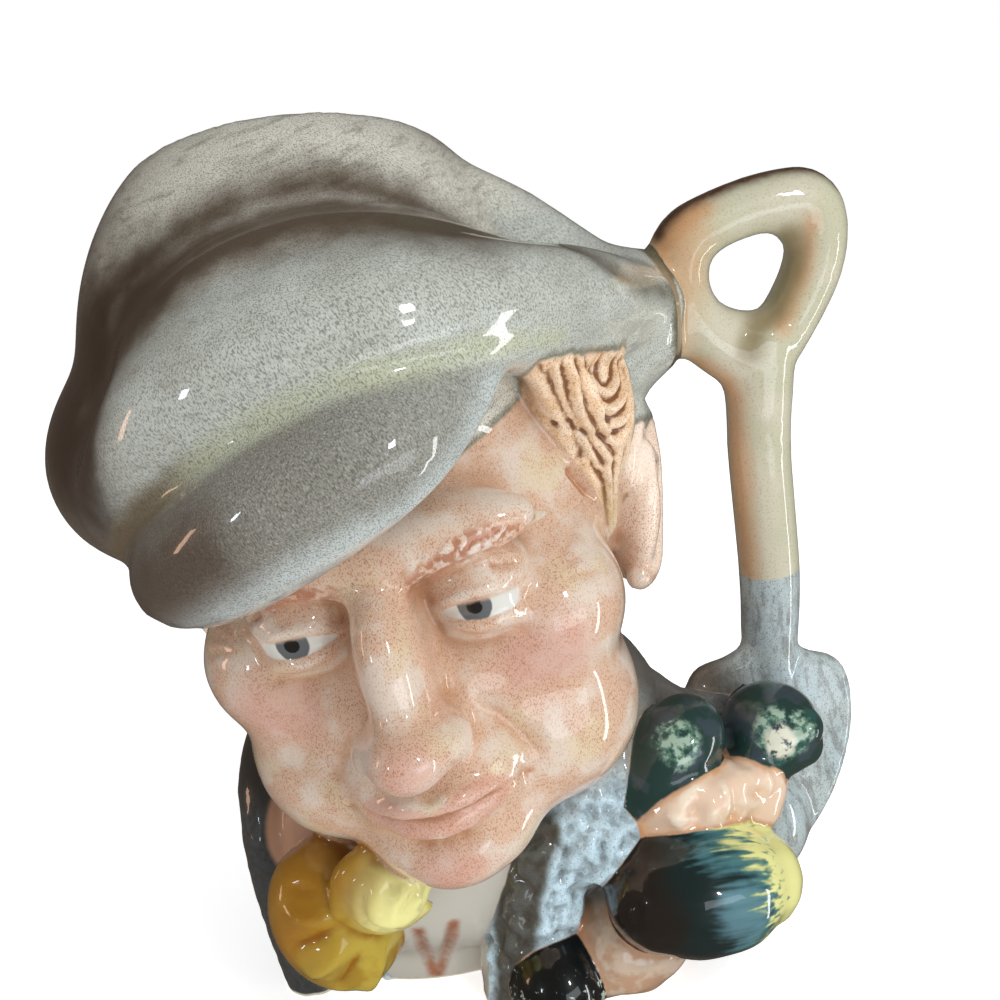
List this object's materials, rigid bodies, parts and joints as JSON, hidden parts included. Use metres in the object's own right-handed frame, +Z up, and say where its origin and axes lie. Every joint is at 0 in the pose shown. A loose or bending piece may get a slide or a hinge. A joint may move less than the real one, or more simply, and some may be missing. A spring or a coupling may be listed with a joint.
{
  "type": "character jug",
  "caption": "Hollow glazed jug shaped as the head of a gardener in a flat cap, open at the top, with a spade as its handle and vegetables at its foot.",
  "frame": {"origin": "middle of the flat foot, on the surface the jug stands on", "axes": "+Z up, +X towards the spade handle, -Y the way the face side looks"},
  "size_m": [0.1769, 0.1344, 0.1948],
  "materials": {
    "glazed_earthenware": "hand-painted underglaze colours under a clear, very glossy glaze, on cream earthenware"
  },
  "bodies": {
    "root": {"jug": "glazed_earthenware"}
  },
  "joints": []
}
